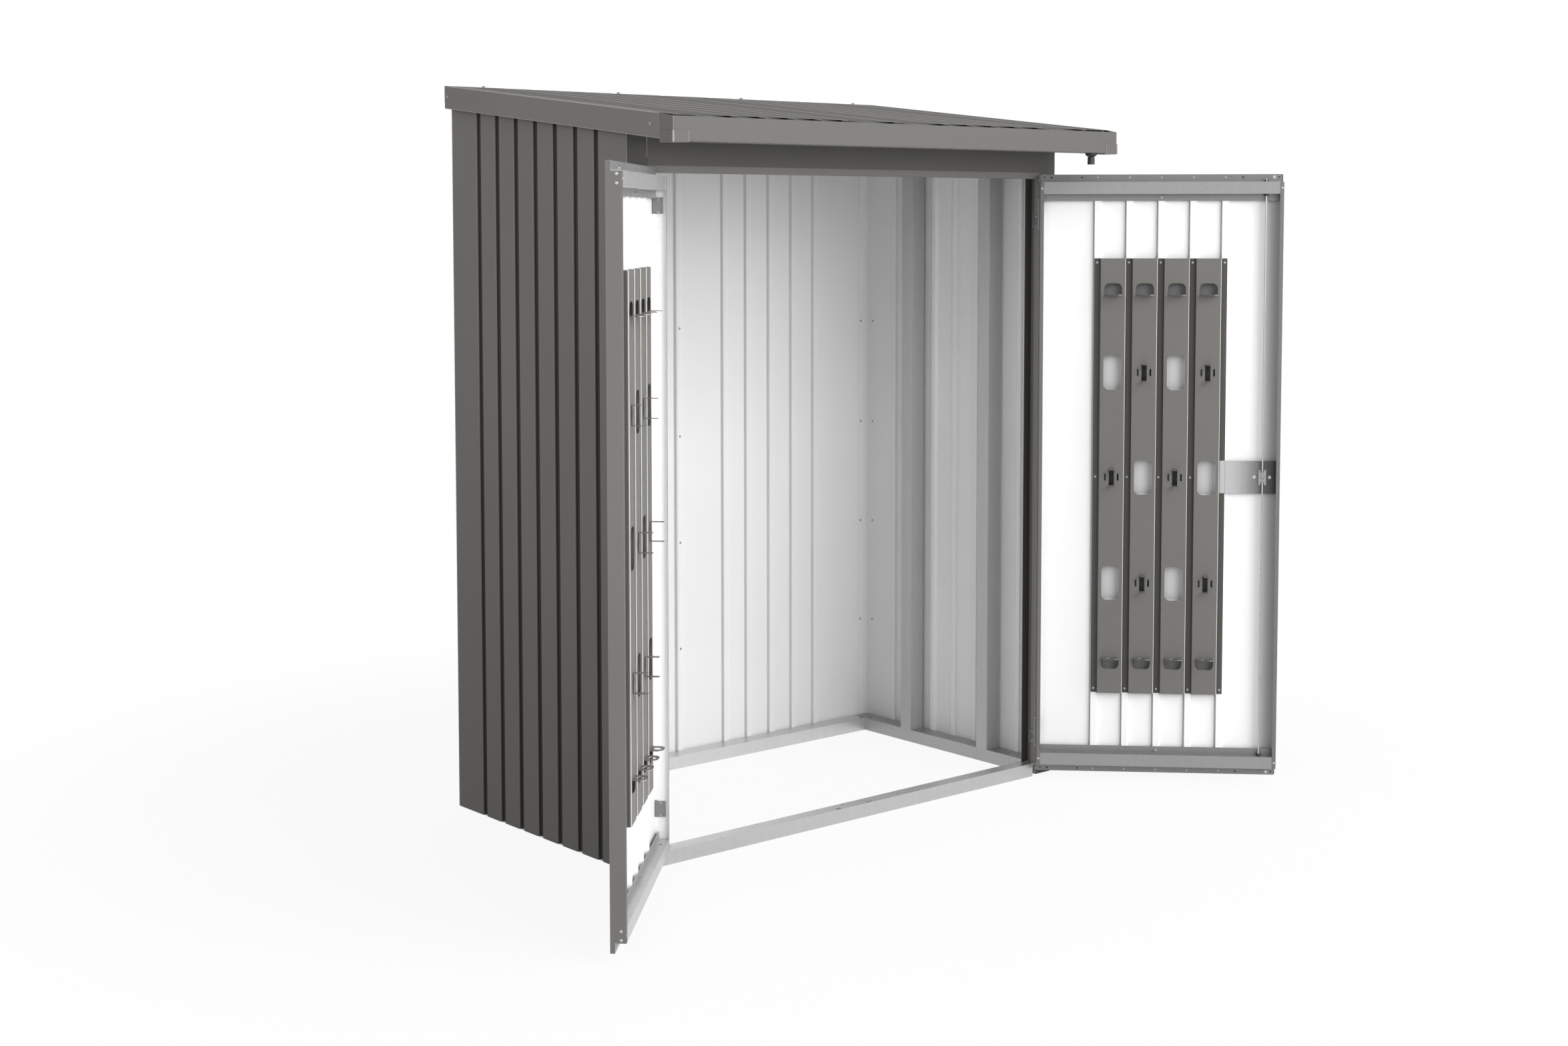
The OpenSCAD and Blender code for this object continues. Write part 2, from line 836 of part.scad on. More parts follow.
// Screws of the fixed frame

rail_bolts = [[-5, 14.7], [16, -5.3]];
module frame_screws() {
    color(steel) {
        both_sides() {
            for (z = screw_rows) {
                translate([half_w - screw_in, rear_y - 2 * sheet_t - seat_gap, z])
                    rotate([90, 0, 0])
                        screw_head();
                translate([half_w - sheet_t, rear_y - screw_in, z])
                    rotate([0, -90, 0])
                        screw_head();
            }
            for (p = rail_bolts)
                translate([side_rail_x + p[0], rear_rail_y + p[1], rail_h])
                    hex_head(4);
        }
        for (z = screw_rows)
            translate([rear_lap_x + lap_reach, rear_y - lap_back, z])
                rotate([90, 0, 0])
                    screw_head();
    }
}

roof_screw_x = [-671.2, -218.1, 236, 689];
roof_screw_in = 16;
fascia_screw_in = 30;
fascia_screw_z = 29;
module roof_screws() {
    color(steel) {
        on_roof()
            for (x = roof_screw_x)
                translate([x, -roof_screw_in, 0])
                    hex_head(4.5);
        both_sides()
            on_roof()
                for (y = [-roof_screw_in, fascia_screw_in - fascia_len])
                    translate([half_roof, y, -fascia_screw_z])
                        rotate([0, 90, 0])
                            screw_head(4.2, 2.4);
    }
}

// Hinges

// The fixed half: a plate on the jamb, a strap round to the pin and a barrel
bracket_d = 26;
strap_in = 2.2;
module hinge_bracket() {
    plate_x = jamb_x - hinge_plate_t / 2;
    color(zinc)
        for (z = hinge_bases)
            difference() {
                union() {
                    upright([[plate_x, front_y + bracket_d], [plate_x, front_y + 0.5],
                        [pin_x + strap_in, pin_y + strap_in]], hinge_plate_t, z, z + hinge_h);
                    translate([pin_x, pin_y, z])
                        cylinder(r = barrel_r, h = hinge_h);
                }
                translate([pin_x, pin_y, z - hinge_h])
                    cylinder(r = pin_r + pin_play, h = 3 * hinge_h);
            }
}

module right_hinge_brackets() {
    hinge_bracket();
}

module left_hinge_brackets() {
    mirror([1, 0, 0])
        hinge_bracket();
}

// Pins with a head beyond each barrel, and two screws for each plate on the jamb
pin_head = 1.6;
pin_head_r = 3.9;
module hinge_pin() {
    pair_h = 2 * hinge_h + hinge_play;
    color(steel)
        for (z = hinge_bases) {
            translate([pin_x, pin_y, z - pin_head])
                cylinder(r = pin_r, h = pair_h + 2 * pin_head);
            for (end = [z - pin_head - seat_gap, z + pair_h + seat_gap])
                translate([pin_x, pin_y, end])
                    cylinder(r = pin_head_r, h = pin_head);
            for (dz = hinge_screws)
                translate([jamb_x - hinge_plate_t, front_y + bracket_d / 2, z + dz])
                    rotate([0, -90, 0])
                        screw_head(3.2, 1.4);
        }
}

module right_hinge_pins() {
    hinge_pin();
}

module left_hinge_pins() {
    mirror([1, 0, 0])
        hinge_pin();
}

// Door leaf, in the leaf frame

tray_in = 0.5;
// A tray behind the fixed half of a hinge, folded out of the leaf's corner
module hinge_tray(z) {
    half_t = sheet_t / 2;
    low = z - pin_head - 1;
    upright([[notch_s + half_t, half_t], [notch_s + half_t, notch_n + half_t],
        [half_t, notch_n + half_t]], sheet_t, low, z + hinge_h);
    translate([tray_in, tray_in, low - sheet_t])
        cube([notch_s + sheet_t - tray_in, notch_n + sheet_t - tray_in, sheet_t]);
}

dot_r = 1.3;
module door_skin() {
    half_t = sheet_t / 2;
    run = rounded(concat([[lip_w, leaf_t - half_t], [half_t, leaf_t - half_t], [half_t, half_t]],
        grooves(middles(leaf_groove_s, sheet_grooves), sheet_t),
        [[leaf_w - half_t, half_t], [leaf_w - half_t, leaf_t - half_t],
            [leaf_w - lip_w, leaf_t - half_t]]), post_bend);
    color(paint) {
        difference() {
            upright(run, sheet_t, leaf_z0 + sheet_t + seat_gap, leaf_z1 - sheet_t - seat_gap);
            for (end = [[0, rail_low_z], [rail_top_z, leaf_z1]])
                translate([-leaf_w, rail_n, end[0]])
                    cube([3 * leaf_w, leaf_t, end[1]]);
            for (z = hinge_bases) {
                translate([-notch_r, -notch_r, z - pin_head - 1])
                    cube([notch_r + notch_s, notch_r + notch_n,
                        2 * (hinge_h + pin_head + 1) + hinge_play]);
                for (dz = hinge_screws)
                    translate([-leaf_t, hinge_bolt_n, z + dz])
                        rotate([0, 90, 0])
                            cylinder(r = dot_r, h = 2 * leaf_t);
            }
            translate([rod_s, 0, 0])
                children();
        }
        for (z = hinge_bases)
            hinge_tray(z);
    }
}

// Hat-shaped rail: cap over the skin's edge, flange, box and inner flange
cap_bend = 1;
module door_rail(edge, dir) {
    half_t = frame_t / 2;
    cap = edge - dir * sheet_t / 2;
    outer = dir > 0 ? rail_top_z + half_t : rail_low_z - half_t;
    inner = outer - dir * door_rail_h;
    web_z = min(outer, inner);
    difference() {
        union() {
            along_x(rounded([[sheet_t, cap], [rail_n + half_t, cap]], cap_bend), sheet_t,
                rail_end, leaf_w - rail_end);
            along_x([[rail_n + half_t, cap - dir * sheet_t / 4], [rail_n + half_t, outer],
                [rail_face_n - half_t, outer], [rail_face_n - half_t, inner],
                [rail_n + half_t, inner], [rail_n + half_t, inner - dir * door_flange]],
                frame_t, rail_end, leaf_w - rail_end);
            for (s = [rail_end, leaf_w - rail_end - frame_t])
                translate([s, rail_front_n, web_z])
                    cube([frame_t, rail_face_n - rail_front_n - half_t, door_rail_h]);
        }
        for (i = [0:len(flange_holes) - 1])
            translate([flange_holes[i], 0, edge - dir * hole_row])
                rotate([-90, 0, 0])
                    cylinder(r = i == 1 ? wide_hole_r : hole_r, h = leaf_t);
        if (dir < 0)
            drill_z(web_hole[0], web_hole[1], inner, web_hole_r, 4 * frame_t);
        translate([0, 0, upper_hinge_end - hinge_h])
            cube([2 * hinge_plate_t, leaf_t, hinge_h + free_gap]);
        translate([0, 0, hinge_low_z - 2 * pin_head - 1])
            cube([notch_s + sheet_t + free_gap, leaf_t, hinge_h]);
        children();
    }
}

module rod_hole(s, r) {
    translate([s, rod_n, 0])
        cylinder(r = r, h = 2 * leaf_z1);
}

rod_free = 1.2;
module left_door_rail(edge, dir) {
    color(zinc)
        left_leaf()
            door_rail(edge, dir)
                rod_hole(bolt_s, bolt_r + rod_free);
}

module right_door_rail(edge, dir) {
    color(zinc)
        right_leaf()
            door_rail(edge, dir)
                rod_hole(rod_s, rod_r + rod_free);
}

module left_door_top_rail() {
    left_door_rail(leaf_z1, 1);
}

module left_door_bottom_rail() {
    left_door_rail(leaf_z0, -1);
}

module right_door_top_rail() {
    right_door_rail(leaf_z1, 1);
}

module right_door_bottom_rail() {
    right_door_rail(leaf_z0, -1);
}

module left_door_skin() {
    left_leaf()
        door_skin();
}

skin_hole_gap = 1;
// The active leaf's skin has holes for the handle's spindle and the key cylinder
module right_door_skin() {
    right_leaf()
        door_skin() {
            for (h = [[lock_z, spindle_r], [key_z, key_r]])
                translate([0, -sheet_t, h[0]])
                    rotate([-90, 0, 0])
                        cylinder(r = h[1] + skin_hole_gap, h = 3 * sheet_t);
        }
}

// Tool panel, in the leaf frame

panel_bend = 1.2;
function panel_path() = let (t = tool_t, half = channel_w / 2, run = (groove_pitch - tool_flat_w) / 2)
    rounded([for (i = [0:tool_count]) let (c = tool_s0 + i * groove_pitch)
        each concat(i == 0 ? [[c - half, tool_n + t / 2]] : [[c - run, tool_face_n + t / 2],
                [c - half, tool_n + t / 2]],
            i == tool_count ? [[c + half, tool_n + t / 2]] : [[c + half, tool_n + t / 2],
                [c + run, tool_face_n + t / 2]])], panel_bend);

function panel_column(i) = tool_s0 + (i + 0.5) * groove_pitch;

module half_round(w, h) {
    r = w * corner_share;
    translate([-w / 2, 0])
        square([w, h - r]);
    translate([r - w / 2, 0])
        square([w - 2 * r, h]);
    for (side = [-1, 1])
        translate([side * (w / 2 - r), h - r])
            circle(r = r);
}

// Cut-outs drawn in s and z on the face of the panel
module panel_cut(s, z) {
    translate([s, leaf_t, z])
        rotate([90, 0, 0])
            linear_extrude(leaf_t)
                children();
}

module long_slot() {
    r = tool_opening_w * corner_share;
    for (sx = [-1, 1], sz = [-1, 1])
        translate([sx * (tool_opening_w / 2 - r), sz * (tool_slot_h / 2 - r)])
            circle(r = r);
    square([tool_opening_w - 2 * r, tool_slot_h], center = true);
    square([tool_opening_w, tool_slot_h - 2 * r], center = true);
}

// Shelf-like hook folded out of a half-round opening
ring_r = 9;
module round_hook(s, z, ring) {
    translate([s, tool_face_n + tool_t - eps, z])
        linear_extrude(tool_t)
            difference() {
                half_round(tool_opening_w - 1, hook_h);
                if (ring)
                    translate([0, hook_h / 2])
                        circle(r = ring_r);
            }
}

// Two tabs folded out of the top and bottom of a narrow opening
module clip_hook(s, z) {
    for (end = [-1, 1])
        translate([s - hook_hole_w / 2, tool_face_n + tool_t - eps,
            z + end * (hook_hole_h / 2 + tool_t / 2) - tool_t / 2])
            cube([hook_hole_w, hook_out, tool_t]);
}

function is_slot(i, j) = (i + j) % 2 == 0;

module tool_panel() {
    color(paint_light) {
        difference() {
            upright(panel_path(), tool_t, tool_z0, tool_z1);
            for (i = [0:tool_count - 1]) {
                s = panel_column(i);
                panel_cut(s, top_hook_z + tool_t)
                    half_round(tool_opening_w, hook_h);
                panel_cut(s, low_hook_z - tool_t)
                    mirror([0, 1])
                        half_round(tool_opening_w, hook_h);
                for (j = [0:len(slot_z) - 1])
                    if (is_slot(i, j)) {
                        panel_cut(s, slot_z[j])
                            long_slot();
                    } else {
                        panel_cut(s, slot_z[j]) {
                            square([hook_hole_w, hook_hole_h], center = true);
                            for (side = [-1, 1])
                                translate([side * strap_gap, 0])
                                    square([strap_w, strap_h], center = true);
                        }
                    }
            }
        }
        for (i = [0:tool_count - 1]) {
            s = panel_column(i);
            round_hook(s, top_hook_z, false);
            round_hook(s, low_hook_z, true);
            for (j = [0:len(slot_z) - 1])
                if (!is_slot(i, j))
                    clip_hook(s, slot_z[j]);
        }
    }
}

module left_tool_panel() {
    left_leaf()
        tool_panel();
}

module right_tool_panel() {
    right_leaf()
        tool_panel();
}

// Moving halves of the hinges: a plate inside the leaf's edge and a barrel
module door_hinge() {
    plate_s = sheet_t + seat_gap + hinge_plate_t / 2;
    color(zinc)
        for (base = hinge_bases) {
            z = base + hinge_h + hinge_play;
            difference() {
                union() {
                    upright([[plate_s, hinge_plate_d], [plate_s, pin_in + barrel_r / 2],
                        [strap_in / 2 - pin_out, pin_in + 1]], hinge_plate_t, z, z + hinge_h);
                    translate([-pin_out, pin_in, z])
                        cylinder(r = barrel_r, h = hinge_h);
                }
                translate([-pin_out, pin_in, z - hinge_h])
                    cylinder(r = pin_r + pin_play, h = 3 * hinge_h);
            }
        }
}

module left_door_hinges() {
    left_leaf()
        door_hinge();
}

module right_door_hinges() {
    right_leaf()
        door_hinge();
}

// Screws and rivets of one leaf
rivet_h = 0.7;
lip_screw_in = 17;
lead_rivet_n = 25;
lead_rivets = [6.5, 26.5];
tool_screw_in = 12;
hinge_bolt_n = 16.6;
hinge_bolts = [4.6, 35];
stay_rivet_in = 24.5;
stop_head_r = 3.4;
stop_head_h = 2.4;
stop_r = 1.8;
stop_l = 11;
module stop_screw() {
    cylinder(r = stop_head_r, h = stop_head_h);
    cylinder(r = stop_r, h = stop_l);
}

module door_screws() {
    color(steel) {
        // a flat rivet on each groove and one near the leading edge, in both flanges
        for (z = [leaf_z1 - hole_row, leaf_z0 + hole_row]) {
            for (s = middles(leaf_groove_s, sheet_grooves))
                translate([s, rail_front_n, z])
                    rotate([-90, 0, 0])
                        rivet(2.2, rivet_h);
            translate([leaf_w - stay_rivet_in, rail_front_n, z])
                rotate([-90, 0, 0])
                    rivet(4.7, rivet_h);
        }
        // a stop screw on the middle groove, in both inner flanges
        for (z = [rail_top_z - door_rail_h - door_flange / 2,
                rail_low_z + door_rail_h + door_flange / 2])
            translate([leaf_groove_s, rail_front_n, z])
                rotate([-90, 0, 0])
                    stop_screw();
        // a screw in each corner of the inner lips
        for (s = [lip_w / 2, leaf_w - lip_w / 2])
            for (z = [rail_top_z - lip_screw_in, rail_low_z + lip_screw_in])
                translate([s, leaf_t, z])
                    rotate([-90, 0, 0])
                        screw_head(3.4, 1.6);
        // two rivets at each end of the leading edge
        for (d = lead_rivets)
            for (z = [rail_top_z - d, rail_low_z + d])
                translate([leaf_w, lead_rivet_n, z])
                    rotate([0, 90, 0])
                        screw_head(3.4, 1.2);
        // tool panel screws in every channel, the last middle one under the lock plate
        for (i = [0:tool_count])
            for (z = [tool_z0 + tool_screw_in, tool_mid_z, tool_z1 - tool_screw_in])
                if (i < tool_count || z != tool_mid_z)
                    translate([tool_s0 + i * groove_pitch, tool_n + tool_t, z])
                        rotate([-90, 0, 0])
                            screw_head(3.2, 1.6);
        // two round bolts in each hinge plate
        for (base = hinge_bases)
            for (dz = hinge_bolts)
                translate([sheet_t + seat_gap + hinge_plate_t, hinge_bolt_n, base + hinge_h + dz])
                    rotate([0, 90, 0])
                        screw_head(4, 3.2);
    }
}

module left_door_screws() {
    left_leaf()
        door_screws();
}

module right_door_screws() {
    right_leaf()
        door_screws();
}

// Guides for the rods and bolts: a channel open to the inside on each rail's flange
guide_wall = 1.2;
guide_h = 5;
module flange_guides(s, r) {
    reach = r + free_gap + guide_wall / 2;
    base_n = rail_front_n + seat_gap + guide_wall / 2;
    front_n = rod_n + reach + guide_wall / 2;
    for (z = [rail_top_z + frame_t + free_gap, rail_low_z - frame_t - free_gap - guide_h])
        upright([[s - reach, front_n], [s - reach, base_n], [s + reach, base_n],
            [s + reach, front_n]], guide_wall, z, z + guide_h);
}

module left_bolt_guides() {
    color(steel)
        left_leaf()
            flange_guides(bolt_s, bolt_r);
}

// A round bolt with a finger knob, in the top or bottom of the leaf
bolt_len = 120;
knob_in = 14;
knob_r = 4;
knob_out = 26;
module shoot_bolt(tip, dir) {
    color(steel)
        left_leaf() {
            translate([bolt_s, rod_n, dir > 0 ? tip - bolt_len : tip])
                cylinder(r = bolt_r, h = bolt_len);
            translate([bolt_s, rod_n, tip - dir * (bolt_len - knob_in)])
                rotate([0, -90, 0])
                    cylinder(r = knob_r, h = knob_out);
        }
}

module left_top_bolt() {
    shoot_bolt(rod_top_z, 1);
}

module left_bottom_bolt() {
    shoot_bolt(rod_low_z, -1);
}

// Lock of the active leaf

lock_w = 34;
lock_up = 38;
lock_down = 46;
spindle_r = 5.6;
spindle_play = 0.08;
hole_gap = 0.4;
case_n = sheet_t + seat_gap;
case_d = plate_n - seat_gap - case_n;

// A hole through the leaf at the rods' distance from the leading edge
module lock_hole(z, r) {
    translate([rod_s, -leaf_t, z])
        rotate([-90, 0, 0])
            cylinder(r = r, h = 2 * leaf_t);
}

module lock_plate() {
    z0 = lock_z - plate_h / 2;
    s_end = leaf_w - sheet_t - free_gap - plate_t / 2;
    n = plate_n + plate_t / 2;
    step_s = plate_s0 + 15.5;
    color(zinc)
        right_leaf()
            difference() {
                upright([[plate_s0, n], [step_s, n], [step_s + 1, n + plate_step],
                    [s_end, n + plate_step], [s_end, leaf_t - sheet_t - free_gap]],
                    plate_t, z0, z0 + plate_h);
                lock_hole(lock_z, spindle_r + hole_gap);
            }
}

lock_screw_s = [-23, 22];
module lock_case() {
    color(steel)
        right_leaf() {
            difference() {
                translate([rod_s - lock_w / 2, case_n, lock_z - lock_down])
                    cube([lock_w, case_d, lock_up + lock_down]);
                lock_hole(lock_z, spindle_r + spindle_play);
                lock_hole(key_z, key_r + hole_gap);
            }
            for (s = lock_screw_s)
                translate([rod_s + s, plate_front_n, lock_z])
                    rotate([-90, 0, 0])
                        screw_head(5, lock_screw_h);
        }
}

// Plastic collars under the rails' webs and guides on their flanges
collar_r = 6.5;
collar_h = 5.8;
module rod_guides() {
    color(steel)
        right_leaf() {
            for (z = [rail_top_z - door_rail_h - collar_h, rail_low_z + door_rail_h])
                translate([rod_s, rod_n, z])
                    difference() {
                        cylinder(r = collar_r, h = collar_h);
                        translate([0, 0, -collar_h])
                            cylinder(r = rod_r + free_gap, h = 3 * collar_h);
                    }
            flange_guides(rod_s, rod_r);
        }
}

// Plate on the outside with the handle's bearing and the key cylinder's hole
escutcheon_w = 34;
escutcheon_t = 9;
escutcheon_up = 22;
escutcheon_down = 26;
module handle_plate() {
    r = escutcheon_w / 2;
    top = lock_z + escutcheon_up - r;
    low = key_z - escutcheon_down + r;
    color(black)
        right_leaf()
            difference() {
                translate([rod_s, -seat_gap, 0])
                    rotate([90, 0, 0])
                        linear_extrude(escutcheon_t) {
                            for (z = [low, top])
                                translate([0, z])
                                    circle(r = r, $fn = 48);
                            translate([-r, low])
                                square([escutcheon_w, top - low]);
                        }
                lock_hole(lock_z, spindle_r + hole_gap);
                lock_hole(key_z, key_r + key_play);
            }
}

// Lever, neck and spindle turn together with the cam
lever_l = 118;
lever_r = 8;
lever_out = 34;
neck_r = 9.5;
neck_h = 30;
rose_r = 13;
rose_h = 4;
module door_handle() {
    lever_n = -escutcheon_t - lever_out;
    rose_n = -escutcheon_t - rose_h - free_gap;
    color(black)
        right_leaf() {
            for (d = [[lever_n, neck_r, neck_h], [rose_n, rose_r, rose_h],
                    [rose_n, spindle_r, cam_n - rose_n]])
                translate([rod_s, d[0], lock_z])
                    rotate([-90, 0, 0])
                        cylinder(r = d[1], h = d[2]);
            translate([rod_s, lever_n, lock_z])
                rotate([0, -90, 0])
                    cylinder(r = lever_r, h = lever_l);
            translate([rod_s, lever_n, lock_z])
                sphere(r = neck_r);
            translate([rod_s - lever_l, lever_n, lock_z])
                sphere(r = lever_r);
        }
}

// Cam with a notch at each end, where the rods end
cam_notch_r = 4.6;
cam_notch_d = 9.5;
module lock_cam() {
    color(steel)
        right_leaf() {
            translate([rod_s, cam_n + cam_t, lock_z])
                rotate([90, 0, 0])
                    linear_extrude(cam_t)
                        difference() {
                            square([cam_w, cam_h], center = true);
                            for (end = [-1, 1])
                                translate([0, end * (cam_h / 2 - cam_notch_d + cam_notch_r)]) {
                                    circle(r = cam_notch_r);
                                    translate([-cam_notch_r, end > 0 ? 0 : -cam_notch_d])
                                        square([2 * cam_notch_r, cam_notch_d]);
                                }
                        }
            translate([rod_s, cam_n + cam_t, lock_z])
                rotate([-90, 0, 0])
                    screw_head(5.2, 2.4);
        }
}

rod_end = cam_h / 2 - cam_notch_d;
module lock_rod(z0, z1) {
    color(steel)
        right_leaf()
            translate([rod_s, rod_n, z0])
                cylinder(r = rod_r, h = z1 - z0);
}

module upper_lock_rod() {
    lock_rod(lock_z + rod_end, rod_top_z);
}

module lower_lock_rod() {
    lock_rod(rod_low_z, lock_z - rod_end);
}

key_proud = 1.5;
key_l = 18;
keyway_w = 1.2;
keyway_h = 8;
module key_cylinder() {
    color(steel)
        right_leaf()
            difference() {
                translate([rod_s, -escutcheon_t - key_proud, key_z])
                    rotate([-90, 0, 0])
                        cylinder(r = key_r, h = key_l);
                translate([rod_s, -escutcheon_t - key_proud, key_z])
                    cube([keyway_w, keyway_h, keyway_h], center = true);
            }
}

front_beam();
rear_rail();
left_rail();
right_rail();
anchor_plates();
corner_plates();
left_post();
right_post();
left_wall();
right_wall();
left_rear_panel();
right_rear_panel();
left_studs();
right_studs();
head_beam();
lintel();
rear_top_rail();
left_top_rail();
right_top_rail();
left_roof_sheet();
right_roof_sheet();
left_fascia();
right_fascia();
rear_trim();
gutter();
left_gutter_end();
right_gutter_end();
drain_spout();
frame_screws();
roof_screws();
left_hinge_brackets();
right_hinge_brackets();
left_hinge_pins();
right_hinge_pins();
left_door_skin();
left_door_top_rail();
left_door_bottom_rail();
left_tool_panel();
left_door_hinges();
left_door_screws();
left_bolt_guides();
left_top_bolt();
left_bottom_bolt();
right_door_skin();
right_door_top_rail();
right_door_bottom_rail();
right_tool_panel();
right_door_hinges();
right_door_screws();
lock_plate();
lock_case();
rod_guides();
handle_plate();
door_handle();
lock_cam();
upper_lock_rod();
lower_lock_rod();
key_cylinder();
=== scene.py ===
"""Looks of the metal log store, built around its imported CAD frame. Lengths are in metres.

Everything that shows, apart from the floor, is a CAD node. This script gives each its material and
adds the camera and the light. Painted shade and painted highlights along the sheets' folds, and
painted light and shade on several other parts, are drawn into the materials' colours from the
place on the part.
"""
import json
import math

import bpy
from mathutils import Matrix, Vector


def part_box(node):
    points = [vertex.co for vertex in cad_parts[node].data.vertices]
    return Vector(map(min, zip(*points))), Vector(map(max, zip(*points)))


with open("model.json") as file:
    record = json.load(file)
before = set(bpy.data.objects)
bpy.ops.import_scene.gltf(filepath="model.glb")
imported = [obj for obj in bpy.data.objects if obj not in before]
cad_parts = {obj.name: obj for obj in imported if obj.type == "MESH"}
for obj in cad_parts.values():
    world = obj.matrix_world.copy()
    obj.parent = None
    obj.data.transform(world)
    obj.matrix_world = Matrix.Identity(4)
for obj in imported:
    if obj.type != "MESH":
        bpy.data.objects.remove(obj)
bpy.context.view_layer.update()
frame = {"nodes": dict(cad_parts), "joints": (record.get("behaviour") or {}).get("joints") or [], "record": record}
nodes = frame["nodes"]
scene = bpy.context.scene

# Colours, linear

PAINT = (0.150, 0.146, 0.137)
# A darker copy of the paint for the walls: painted shade
WALL_PAINT_SHADED = (0.138, 0.134, 0.126)
# A darker copy of the paint for the roof: painted shade
ROOF_PAINT_SHADED = (0.090, 0.0875, 0.083)
GUTTER_PAINT = (0.128, 0.1245, 0.117)
# A darker copy of the paint for the lintel: painted shade under the roof's overhang
LINTEL_PAINT_SHADED = (0.095, 0.092, 0.087)
# Painted light and shade: each leaf's tool panel takes its own copy of the paint, lighter on the left leaf and
# darker on the right
PANEL_PAINT_BY_LIGHT = {-1: (0.190, 0.185, 0.175), 1: (0.145, 0.141, 0.133)}
WHITE = (0.78, 0.78, 0.78)
# Painted light: the rear panels and each leaf take their own lighter copy of the same white
REAR_WHITE_LIT = (0.79, 0.79, 0.79)
LEAF_WHITE_LIT = {-1: (0.86, 0.86, 0.86), 1: (0.81, 0.81, 0.81)}
LIGHT_WHITE = (1.0, 1.0, 1.0, 1.0)
ZINC = (0.635, 0.635, 0.635)
STUD_ZINC = (0.46, 0.46, 0.46)
SIDE_RAIL_ZINC = (0.40, 0.40, 0.40)
# Painted light and shade: the left leaf's rails take a lighter copy of the zinc, the right's a darker one
DOOR_ZINC_BY_LIGHT = {"left": (0.52, 0.523, 0.525), "right": (0.275, 0.277, 0.279)}
LOCK_ZINC = (0.40, 0.403, 0.403)
BRIGHT_STEEL = (0.46, 0.47, 0.475)
HINGE_ZINC = (0.25, 0.255, 0.255)
SCREW_GREY = (0.30, 0.30, 0.295)
BLACK = (0.022, 0.022, 0.023)
HANDLE_BLACK = (0.030, 0.030, 0.031)

RIGHT, BACK, UP = (1, 0, 0), (0, 1, 0), (0, 0, 1)
LEFT, FRONT = (-1, 0, 0), (0, -1, 0)

# Camera. The small tilt and shift keep the whole store in the picture from other sides too.

camera_data = bpy.data.cameras.new("camera")
camera_data.lens = 49.2
camera_data.sensor_width = 36.0
camera_data.shift_y = -0.10
camera_data.clip_end = 200.0
camera = bpy.data.objects.new("camera", camera_data)
camera.location = (-3.8552, -4.65341, 1.6304)
camera.rotation_euler = [math.radians(angle) for angle in (86.057, 0.042, -40.205)]
scene.collection.objects.link(camera)
scene.camera = camera
scene.view_settings.view_transform = "Standard"

# Node helpers


class Nodes:
    """A node tree with short ways to add nodes and work on their values."""

    def __init__(self, tree):
        self.tree = tree
        self.tree.nodes.clear()

    def add(self, kind, **settings):
        node = self.tree.nodes.new(kind)
        for key, value in settings.items():
            setattr(node, key, value)
        return node

    def link(self, a, b):
        self.tree.links.new(a, b)

    def feed(self, socket, value):
        if isinstance(value, bpy.types.NodeSocket):
            self.link(value, socket)
        else:
            socket.default_value = value

    def math(self, operation, a, b=0.0):
        node = self.add("ShaderNodeMath", operation=operation)
        self.feed(node.inputs[0], a)
        self.feed(node.inputs[1], b)
        return node.outputs[0]

    def above(self, a, b):
        return self.math("GREATER_THAN", a, b)

    def below(self, a, b):
        return self.math("LESS_THAN", a, b)

    def minus(self, a, b):
        return self.math("SUBTRACT", a, b)

    def size(self, a):
        return self.math("ABSOLUTE", a)

    def times(self, first, *others):
        for other in others:
            first = self.math("MULTIPLY", first, other)
        return first

    def most(self, first, *others):
        for other in others:
            first = self.math("MAXIMUM", first, other)
        return first

    def darker(self, mask, share):
        """1 outside the mask, and less by the share inside it."""
        return self.minus(1.0, self.times(mask, share))

    def brighter(self, mask, share):
        """1 outside the mask, and more by the share inside it."""
        return self.math("ADD", 1.0, self.times(mask, share))

    def dot(self, vector, direction):
        node = self.add("ShaderNodeVectorMath", operation="DOT_PRODUCT")
        self.feed(node.inputs[0], vector)
        node.inputs[1].default_value = direction
        return node.outputs["Value"]

    def span(self, value, low, high, to_low=0.0, to_high=1.0, ramp="SMOOTHSTEP"):
        """Carries low to high over to to_low to to_high, and holds the ends."""
        node = self.add("ShaderNodeMapRange", interpolation_type=ramp)
        self.feed(node.inputs["Value"], value)
        node.inputs["From Min"].default_value = low
        node.inputs["From Max"].default_value = high
        node.inputs["To Min"].default_value = to_low
        node.inputs["To Max"].default_value = to_high
        return node.outputs["Result"]

    def seen(self):
        """1 for rays from the camera, a mirror or a clear piece, and 0 for light that falls."""
        path = self.add("ShaderNodeLightPath").outputs
        return self.most(path["Is Camera Ray"], path["Is Glossy Ray"], path["Is Transmission Ray"])

    def glow(self, kind):
        """A plain white emission or background."""
        node = self.add(kind)
        node.inputs["Color"].default_value = LIGHT_WHITE
        node.inputs["Strength"].default_value = 1.0
        return node

    def blend_shaders(self, factor, a, b):
        node = self.add("ShaderNodeMixShader")
        self.link(factor, node.inputs[0])
        self.link(a, node.inputs[1])
        self.link(b, node.inputs[2])
        return node.outputs[0]


